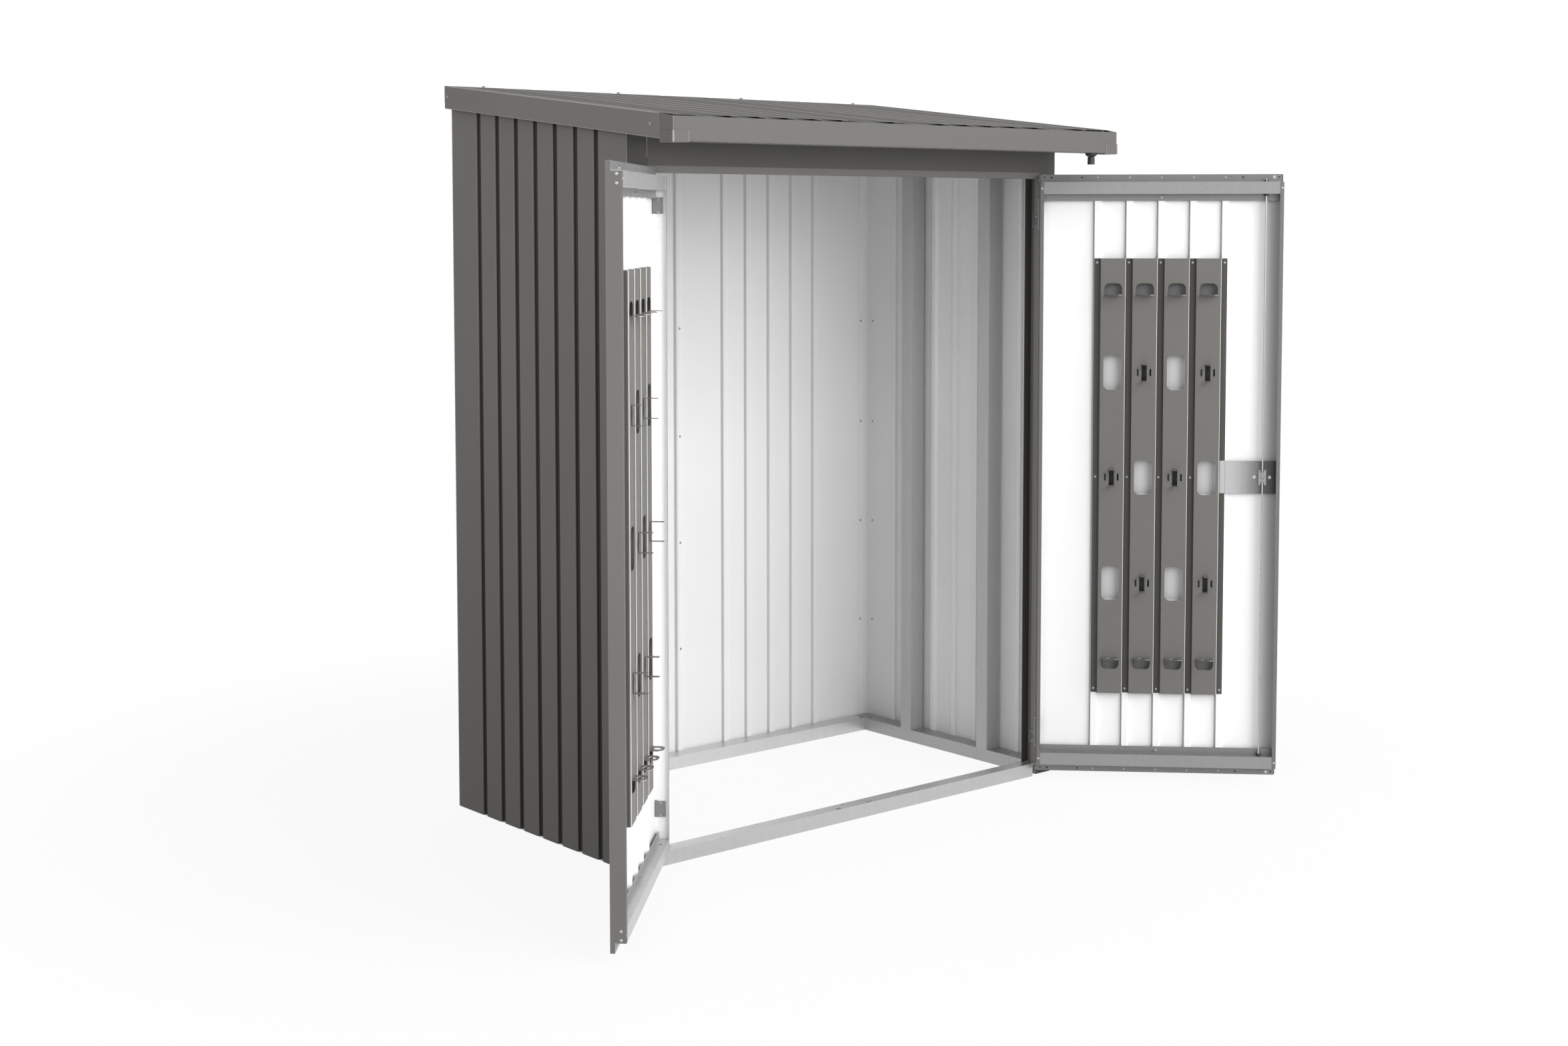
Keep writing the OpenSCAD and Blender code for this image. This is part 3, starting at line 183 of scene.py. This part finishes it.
class Finish(Nodes):
    """A material's node tree, with its principled shader and the place on the part."""

    def __init__(self, name):
        self.material = bpy.data.materials.new(name)
        self.material.use_nodes = True
        super().__init__(self.material.node_tree)
        self.out = self.add("ShaderNodeOutputMaterial")
        self.shader = self.add("ShaderNodeBsdfPrincipled")
        self.link(self.shader.outputs["BSDF"], self.out.inputs["Surface"])
        coords = self.add("ShaderNodeTexCoord")
        self.place = coords.outputs["Object"]
        self.normal = coords.outputs["Normal"]

    def set(self, name, value):
        self.feed(self.shader.inputs[name], value)

    def noise(self, scale, detail=2.0, rough=0.5, stretch=None):
        node = self.add("ShaderNodeTexNoise")
        vector = self.place
        if stretch:
            mapping = self.add("ShaderNodeMapping")
            mapping.inputs["Scale"].default_value = stretch
            self.link(self.place, mapping.inputs["Vector"])
            vector = mapping.outputs["Vector"]
        self.link(vector, node.inputs["Vector"])
        node.inputs["Scale"].default_value = scale
        node.inputs["Detail"].default_value = detail
        node.inputs["Roughness"].default_value = rough
        return node.outputs["Fac"]

    def mix(self, factor, a, b):
        node = self.add("ShaderNodeMix", data_type="RGBA", blend_type="MIX")
        self.feed(node.inputs["Factor"], factor)
        self.feed(node.inputs["A"], a)
        self.feed(node.inputs["B"], b)
        return node.outputs["Result"]

    def shade(self, colour, value):
        """The colour times a grey value."""
        node = self.add("ShaderNodeVectorMath", operation="SCALE")
        self.feed(node.inputs[0], colour)
        self.feed(node.inputs["Scale"], value)
        return node.outputs["Vector"]

    def bump(self, height, strength, distance):
        node = self.add("ShaderNodeBump")
        node.inputs["Strength"].default_value = strength
        node.inputs["Distance"].default_value = distance
        self.link(height, node.inputs["Height"])
        self.link(node.outputs["Normal"], self.shader.inputs["Normal"])

    def flake(self):
        """The fine grain of metallic paint."""
        return self.span(self.noise(1400.0, 1.0), 0.25, 0.75, 0.93, 1.07)

    def painted(self, metallic, specular):
        """The gloss and fine skin of paint on a fitting."""
        self.set("Roughness", self.span(self.noise(260.0, 2.0), 0.2, 0.8, 0.46, 0.54))
        self.set("Metallic", metallic)
        self.set("Specular IOR Level", specular)
        self.paint_skin()

    def paint_skin(self):
        self.bump(self.noise(420.0, 2.0), 0.06, 0.0006)

    def turned(self, direction, least):
        """1 where the surface faces the direction by more than the least cosine."""
        return self.above(self.dot(self.normal, direction), least)


# Light

WORLD_BRIGHT_SIDE = (0.30, -0.80, 0.45)
WORLD_REACH = 0.8
WORLD_DIM, WORLD_BRIGHT = 0.42, 0.80


def light_world():
    """White for what sees it, and for falling light dimmer away from the bright side."""
    world = bpy.data.worlds.new("studio")
    scene.world = world
    world.use_nodes = True
    t = Nodes(world.node_tree)
    way = t.add("ShaderNodeTexCoord").outputs["Generated"]
    light = t.add("ShaderNodeBackground")
    light.inputs["Color"].default_value = LIGHT_WHITE
    t.link(t.span(t.dot(way, WORLD_BRIGHT_SIDE), -WORLD_REACH, WORLD_REACH,
                  WORLD_DIM, WORLD_BRIGHT, "LINEAR"), light.inputs["Strength"])
    shown = t.blend_shaders(t.seen(), light.outputs[0], t.glow("ShaderNodeBackground").outputs[0])
    t.link(shown, t.add("ShaderNodeOutputWorld").inputs["Surface"])


def area_light(name, place, target, size, power):
    data = bpy.data.lights.new(name, "AREA")
    data.shape = "RECTANGLE"
    data.size, data.size_y = size
    data.energy = power
    lamp = bpy.data.objects.new(name, data)
    lamp.location = place
    lamp.rotation_euler = (Vector(target) - Vector(place)).to_track_quat("-Z", "Y").to_euler()
    scene.collection.objects.link(lamp)


light_world()
area_light("key", place=(1.5, -7.0, 4.0), target=(0.3, 0.0, 0.9), size=(6.8, 5.6), power=470.0)
area_light("side", place=(-6.5, -2.5, 3.4), target=(0.0, -0.2, 1.1), size=(3.0, 2.6), power=95.0)

# Places on the part

GROOVE_PITCH = 0.09015
GROOVE_START = 0.0026
GROOVE_FADE = 0.0014
BEND_DEPTH = 0.0004

PIN = next(Vector(joint["pos_m"]) for joint in frame["joints"] if joint["name"] == "right_door")
ROOT = math.sqrt(0.5)
LEAF_W = 0.6865
LEAF_BESIDE_PIN = 0.0018
LEAF_BEFORE_PIN = 0.0033
LEAF_LIP_DEPTH = 0.0355
LEAF_EDGE_W = 0.004
TOOL_FACE = 0.0228
TOOL_COLUMNS = [0.20995 + i * GROOVE_PITCH for i in range(4)]
SLOT_ROWS = (0.579, 0.8865, 1.189)
HOOK_ROWS = (0.345, 1.428)
# Half sizes of the openings, and how much painted shade darkens the skin behind them
HOOK_HALF, HOOK_DARK = (0.027, 0.020), 0.78
HOLE_HALF, HOLE_DARK = (0.024, 0.028), 0.92
SLOT_HALF, SLOT_DARK = (0.024, 0.048), 0.34
# The strip along the leading edge that takes painted shade, from the edge
LEAD_SHADE_FROM, LEAD_SHADE_TO, LEAD_DARK = 0.085, 0.012, 0.56

SLOPE = math.radians(6.4)
ROOF_UP = Vector((0.0, -math.sin(SLOPE), math.cos(SLOPE)))
ROOF_TOP = ROOF_UP.dot(Vector((0.0, 0.4026, 1.990)))
ROOF_GROOVES = [-0.7631, -0.0474, 0.6683]
ROOF_GROOVES += [first + i * GROOVE_PITCH for first in (-0.58555, 0.13015) for i in range(5)]
ROOF_LINE = (0.0098, 0.0136)
EAVES = (-0.595, -0.52)


def leaf_frame(side):
    """Hinged edge, direction to the leading edge and inward normal of an open leaf."""
    along = Vector((side * ROOT, -ROOT, 0.0))
    inward = Vector((-side * ROOT, -ROOT, 0.0))
    pin = Vector((side * PIN.x, PIN.y, 0.0))
    return pin + along * LEAF_BESIDE_PIN - inward * LEAF_BEFORE_PIN, along, inward


def distance(t, origin, direction):
    """How far a point lies from the origin along the direction."""
    return t.minus(t.dot(t.place, direction), origin.dot(direction))


# Masks and shades, 0 to 1 or a grey value, each built in a finish's tree


def facing(direction):
    return lambda t: t.span(t.dot(t.normal, direction), 0.02, 0.06)


def leaf_outside(side):
    """The painted side of a leaf's skin, with its lips and edges."""
    edge, along, inward = leaf_frame(side)

    def mask(t):
        n = distance(t, edge, inward)
        s = distance(t, edge, along)
        lip = t.times(t.turned(inward, 0.3), t.above(n, LEAF_LIP_DEPTH))
        hinge = t.times(t.below(t.dot(t.normal, along), -0.3), t.below(s, LEAF_EDGE_W))
        lead = t.times(t.turned(along, 0.3), t.above(s, LEAF_W - LEAF_EDGE_W))
        return t.most(facing(-inward)(t), lip, hinge, lead)

    return mask


def box_mask(t, u, v, centre, half, soft=0.004):
    """1 inside a rectangle in u and v, with a soft edge."""
    sides = []
    for value, middle, reach in ((u, centre[0], half[0]), (v, centre[1], half[1])):
        away = t.size(t.minus(value, middle))
        sides.append(t.span(away, reach, reach + soft, 1.0, 0.0))
    return t.times(*sides)


def leaf_shade(side):
    """Painted shade on the skin behind the tool panel's openings and by the leading edge."""
    edge, along, _ = leaf_frame(side)

    def shade(t):
        s = distance(t, edge, along)
        height = t.dot(t.place, UP)
        dark = [t.span(s, LEAF_W - LEAD_SHADE_FROM, LEAF_W - LEAD_SHADE_TO, 0.0, LEAD_DARK)]
        for i, column in enumerate(TOOL_COLUMNS):
            openings = [(row, HOOK_HALF, HOOK_DARK) for row in HOOK_ROWS]
            for j, row in enumerate(SLOT_ROWS):
                round_hole = (i + j) % 2
                openings.append((row, HOLE_HALF, HOLE_DARK) if round_hole else
                                (row, SLOT_HALF, SLOT_DARK))
            for row, half, share in openings:
                dark.append(t.times(box_mask(t, s, height, (column, row), half), share))
        return t.minus(1.0, t.most(*dark))

    return shade


def flange_shade(t):
    """Painted shade on the flanges of the door rails, which lie back from the caps and boxes between them."""
    upper_low, upper_high = (corner.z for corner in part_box("left_door_top_rail"))
    lower_low, lower_high = (corner.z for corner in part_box("left_door_bottom_rail"))
    top_w, foot_w, inner_w = 0.0210, 0.0225, 0.0184
    height = t.dot(t.place, UP)
    outer = t.most(t.above(height, upper_high - top_w), t.below(height, lower_low + foot_w))
    inner = t.times(t.above(height, lower_high - inner_w), t.below(height, upper_low + inner_w))
    return t.minus(1.0, t.math("ADD", t.times(outer, 0.32), t.times(inner, 0.22)))


def beam_shade(t):
    """Painted shade on the front beam's face and painted light on its top."""
    return t.minus(1.12, t.times(t.turned(FRONT, 0.7), 0.34))


def plate_shade(t):
    """Painted light and shade: the lock plate darkens towards the leaf's leading edge."""
    edge, along, _ = leaf_frame(1)
    plate_start, plate_end = 0.535, 0.668
    return t.span(distance(t, edge, along), plate_start, plate_end, 1.15, 0.14)


def roof_highlights_and_shade(t):
    """Painted highlights beside the roof's grooves, and painted shade on the sheets' ends over the gutter."""
    x = t.dot(t.place, RIGHT)
    strips = []
    for centre in ROOF_GROOVES:
        away = t.size(t.minus(x, centre))
        strips.append(t.times(t.above(away, ROOF_LINE[0]), t.below(away, ROOF_LINE[1])))
    return t.times(t.brighter(t.most(*strips), 0.75), t.darker(t.turned(FRONT, 0.7), 0.9))


def eaves_shade(t):
    """Painted shade: the underside of the roof is darkened over the gutter."""
    return t.span(t.dot(t.place, BACK), *EAVES, 0.04, 1.0)


def groove_shade(t, direction, surface, start=GROOVE_START, dark=0.55, gleam=0.22, lit_way=None):
    """Painted shade deep in a groove, from the start depth on, and painted highlights on its bends.

    With a lit way, only the bends turned towards it are brighter.
    """
    facing_out = t.dot(t.normal, direction)
    depth = t.minus(surface, t.dot(t.place, direction))
    deep = t.times(t.above(facing_out, 0.1), t.span(depth, start, start + GROOVE_FADE))
    bend = t.times(t.above(facing_out, 0.25), t.below(facing_out, 0.985),
                   t.below(depth, start + BEND_DEPTH))
    if lit_way:
        bend = t.times(bend, t.turned(lit_way, 0.2))
    return t.math("ADD", t.darker(deep, dark), t.times(bend, gleam))


# Finishes


def sheet_paint(name, direction, surface, outside_of, lit_way, white=WHITE, paint=PAINT,
                specular=0.18, start=GROOVE_START, dark=0.68, gleam=0.30, inner_shade=None,
                flank_dark=0.15, foot_shade_tone=0.72, outer_shade=None):
    """Metallic grey on the outer side of a sheet and off-white on its inner side.

    The outer side faces the direction and lies at the surface's distance along it, and
    outside_of gives a 0 to 1 mask of that side. Outside, painted shade darkens the grooves and
    the sheet towards its foot, and painted highlights brighten the bends. Inside, painted light
    brightens the flanks of the ribs that look the lit way and painted shade darkens the others.
    """
    t = Finish(name)
    outer = outside_of(t)
    broad = t.span(t.noise(1.7, 3.0), 0.3, 0.7, 0.965, 1.035)
    # Painted shade: the outer paint gets darker towards the bottom of the sheet
    foot_shade_height = 1.6
    foot_shade = t.span(t.dot(t.place, UP), 0.0, foot_shade_height, foot_shade_tone, 1.0)
    grey = t.shade(paint, t.times(broad, foot_shade, t.flake()))
    grey = t.shade(grey, groove_shade(t, direction, surface, start, dark, gleam))
    if outer_shade:
        grey = t.shade(grey, outer_shade(t))
    mottle_and_shade = t.span(t.noise(2.3, 3.0), 0.3, 0.7, 0.985, 1.01)
    # Painted light and shade inside: rib flanks turned the lit way are brighter, the others darker
    turned = t.dot(t.normal, lit_way)
    bright = t.times(t.above(turned, 0.2), 0.10)
    shaded = t.times(t.below(turned, -0.2), flank_dark)
    mottle_and_shade = t.times(mottle_and_shade, t.math("ADD", 1.0, t.minus(bright, shaded)))
    if inner_shade:
        mottle_and_shade = t.times(mottle_and_shade, inner_shade(t))
    t.set("Base Color", t.mix(outer, t.shade(white, mottle_and_shade), grey))
    rough = t.span(t.noise(260.0, 2.0), 0.2, 0.8, 0.50, 0.58)
    t.set("Roughness", t.math("ADD", rough, t.times(t.minus(1.0, outer), 0.05)))
    t.set("Specular IOR Level", specular)
    t.paint_skin()
    return t.material


def flat_sheet(name, direction, surface, lit_way, white=WHITE):
    return sheet_paint(name, direction, surface, facing(direction), lit_way, white, WALL_PAINT_SHADED)


def leaf_sheet(name, side):
    edge, along, inward = leaf_frame(side)
    return sheet_paint(name, tuple(-inward), -inward.dot(edge), leaf_outside(side), tuple(along),
                       LEAF_WHITE_LIT[side], specular=0.34, inner_shade=leaf_shade(side),
                       flank_dark=0.55, foot_shade_tone=0.94)


def tool_paint(name, side):
    """Paint of a tool panel, with painted shade in its channels and painted highlights on lit bends."""
    edge, along, inward = leaf_frame(side)
    t = Finish(name)
    shade = groove_shade(t, tuple(inward), inward.dot(edge) + TOOL_FACE, start=0.0030,
                         dark=0.50, gleam=3.0, lit_way=tuple(along))
    t.set("Base Color", t.shade(t.shade(PANEL_PAINT_BY_LIGHT[side], t.flake()), shade))
    t.painted(0.10, 0.22)
    return t.material


def plain_paint(name, colour, metallic=0.10, specular=0.22):
    """Paint of a folded trim, with a painted highlight where it bends between the three main ways."""
    t = Finish(name)
    broad = t.span(t.noise(2.1, 3.0), 0.3, 0.7, 0.96, 1.04)
    squareness = t.most(*(t.size(t.dot(t.normal, way)) for way in (RIGHT, BACK, UP)))
    bend_highlight = t.brighter(t.below(squareness, 0.985), 0.9)
    t.set("Base Color", t.shade(colour, t.times(broad, t.flake(), bend_highlight)))
    t.painted(metallic, specular)
    return t.material


def post_paint():
    """The post's rebate behind the leaf is darker than its jamb."""
    rebate_from, rebate_to = 0.018, 0.023
    front_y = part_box("left_post")[0].y
    t = Finish("post_paint")
    rebate = t.span(t.dot(t.place, BACK), front_y + rebate_from, front_y + rebate_to, 1.0, 0.55)
    # Painted light and shade: faces turned to the front are darker, the other faces lighter
    sides = t.minus(1.85, t.times(t.turned(FRONT, 0.7), 1.27))
    t.set("Base Color", t.shade(PAINT, t.times(t.flake(), rebate, sides)))
    t.painted(0.05, 0.15)
    return t.material


def gutter_paint(name):
    """Gutter and end caps: painted shade inside, and painted highlights along the caps' edges."""
    front_skin, floor_skin, margin = 0.0005, 0.0004, 0.0001
    low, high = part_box("gutter")
    t = Finish(name + "_paint")
    across = t.size(t.dot(t.place, RIGHT))
    y = t.dot(t.place, BACK)
    inside = t.times(t.above(y, low.y + front_skin), t.below(y, high.y - margin),
                     t.above(t.dot(t.place, UP), low.z + floor_skin),
                     t.below(across, high.x - margin))
    tone = t.times(t.flake(), t.darker(inside, 0.88))
    if name != "gutter":
        end_lap, front_lap, clip_edge = 0.0034, 0.0033, 0.0009
        cap_low, cap_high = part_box("left_gutter_end")
        corner = t.times(t.above(across, -cap_low.x - end_lap),
                         t.below(y, cap_low.y + front_lap))
        clip_side = t.below(across, -cap_high.x + clip_edge)
        tone = t.times(tone, t.brighter(t.most(corner, clip_side), 1.6))
    t.set("Base Color", t.shade(GUTTER_PAINT, tone))
    t.painted(0.10, 0.22)
    return t.material


def galvanised(name, colour=ZINC, metallic=0.92, low=0.32, high=0.48, shade_of=None):
    """Zinc with faint rolled streaks and spangle."""
    t = Finish(name)
    spangle = t.add("ShaderNodeTexVoronoi")
    t.link(t.place, spangle.inputs["Vector"])
    spangle.inputs["Scale"].default_value = 150.0
    patch = t.span(spangle.outputs["Distance"], 0.0, 0.9, 0.98, 1.02)
    streak = t.span(t.noise(60.0, 3.0, 0.6, (1.0, 1.0, 0.12)), 0.25, 0.75, 0.98, 1.02)
    tone = t.times(patch, streak)
    if shade_of:
        tone = t.times(tone, shade_of(t))
    t.set("Base Color", t.shade(colour, tone))
    t.set("Roughness", t.span(t.noise(90.0, 3.0), 0.25, 0.75, low, high))
    t.set("Metallic", metallic)
    t.bump(t.noise(700.0, 2.0), 0.05, 0.0004)
    return t.material


def plastic(name, colour, low, high):
    t = Finish(name)
    t.set("Base Color", t.shade(colour, t.span(t.noise(35.0, 3.0), 0.3, 0.7, 0.85, 1.15)))
    t.set("Roughness", t.span(t.noise(320.0, 2.0), 0.25, 0.75, low, high))
    t.bump(t.noise(900.0, 2.0), 0.12, 0.0004)
    return t.material


# Which finish goes where. Nodes that aren't named take that of their slot in the record.

wall_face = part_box("right_wall")[1].x
rear_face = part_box("left_rear_panel")[1].y
rear = flat_sheet("wall_rear", BACK, rear_face, RIGHT, REAR_WHITE_LIT)
roof = sheet_paint("roof", tuple(ROOF_UP), ROOF_TOP, facing(tuple(ROOF_UP)), RIGHT,
                   paint=ROOF_PAINT_SHADED, specular=0.04, start=0.0008, dark=0.35, gleam=1.0,
                   inner_shade=eaves_shade, outer_shade=roof_highlights_and_shade)
studs = galvanised("stud_zinc", STUD_ZINC, 0.35, 0.40, 0.52)
side_rails = galvanised("side_rail_zinc", SIDE_RAIL_ZINC, 0.70)
steel = galvanised("bright_steel", BRIGHT_STEEL, 0.7, 0.26, 0.40)
screw_grey = galvanised("screw_grey", SCREW_GREY, 0.5, 0.32, 0.44)

finishes = {
    "right_wall": flat_sheet("wall_right", RIGHT, wall_face, FRONT),
    "left_wall": flat_sheet("wall_left", LEFT, wall_face, FRONT),
    "right_door_skin": leaf_sheet("leaf_right", 1),
    "left_door_skin": leaf_sheet("leaf_left", -1),
    "right_tool_panel": tool_paint("tool_paint_right", 1),
    "left_tool_panel": tool_paint("tool_paint_left", -1),
    "lintel": plain_paint("lintel_paint_shaded", LINTEL_PAINT_SHADED, 0.05, 0.12),
    "front_beam": galvanised("beam_zinc", shade_of=beam_shade),
    "lock_plate": galvanised("lock_zinc", LOCK_ZINC, 0.5, shade_of=plate_shade),
    "lock_cam": screw_grey,
    "roof_screws": screw_grey,
    "frame_screws": screw_grey,
    "gutter": gutter_paint("gutter"),
}
for side in ("left", "right"):
    # Each leaf's rails get their own lit or shaded copy of the zinc, painted light and shade
    door_zinc_by_light = galvanised(f"door_zinc_by_light_{side}", DOOR_ZINC_BY_LIGHT[side], 0.55, shade_of=flange_shade)
    finishes.update({
        f"{side}_rear_panel": rear,
        f"{side}_roof_sheet": roof,
        f"{side}_door_top_rail": door_zinc_by_light,
        f"{side}_door_bottom_rail": door_zinc_by_light,
        f"{side}_post": post_paint(),
        f"{side}_gutter_end": gutter_paint(f"{side}_gutter_end"),
        f"{side}_studs": studs,
        f"{side}_rail": side_rails,
    })

by_slot = {
    "trim_paint": plain_paint("trim_paint", PAINT),
    "galvanised": galvanised("zinc"),
    "hinge_steel": galvanised("hinge_zinc", HINGE_ZINC, 0.4, 0.34, 0.48),
    "bright_steel": steel,
    "zinc_screws": steel,
    "black_plastic": plastic("black_plastic", BLACK, 0.40, 0.55),
    "handle_black": plastic("handle_black", HANDLE_BLACK, 0.28, 0.40),
}
slot_of = {part["node"]: part["material_slot"] for part in frame["record"]["subparts"]}
for name, obj in nodes.items():
    finish = finishes[name] if name in finishes else by_slot[slot_of[name]]
    if not obj.material_slots:
        obj.data.materials.append(finish)
    for s in obj.material_slots:
        s.link = "OBJECT"
        s.material = finish

# Floor

FLOOR_HALF = 40.0
FLOOR_Z = -0.001
# The floor glows like the background, a little less near the store so that its shade shows
FLOOR_GLOW_FROM, FLOOR_GLOW_TO, FLOOR_GLOW = 1.3, 2.8, 0.9


def floor_material():
    t = Finish("floor")
    t.set("Base Color", t.shade(WHITE, t.span(t.noise(1.0), 0.3, 0.7, 0.99, 1.01)))
    t.set("Roughness", 0.9)
    length = t.add("ShaderNodeVectorMath", operation="LENGTH")
    t.link(t.place, length.inputs[0])
    share = t.span(length.outputs["Value"], FLOOR_GLOW_FROM, FLOOR_GLOW_TO, FLOOR_GLOW, 1.0)
    shown = t.blend_shaders(t.times(t.seen(), share), t.shader.outputs[0],
                            t.glow("ShaderNodeEmission").outputs[0])
    t.link(shown, t.out.inputs["Surface"])
    return t.material


corners = [(x * FLOOR_HALF, y * FLOOR_HALF, FLOOR_Z)
           for x, y in ((-1, -1), (1, -1), (1, 1), (-1, 1))]
mesh = bpy.data.meshes.new("floor")
mesh.from_pydata(corners, [], [(0, 1, 2, 3)])
floor = bpy.data.objects.new("floor", mesh)
floor.data.materials.append(floor_material())
scene.collection.objects.link(floor)
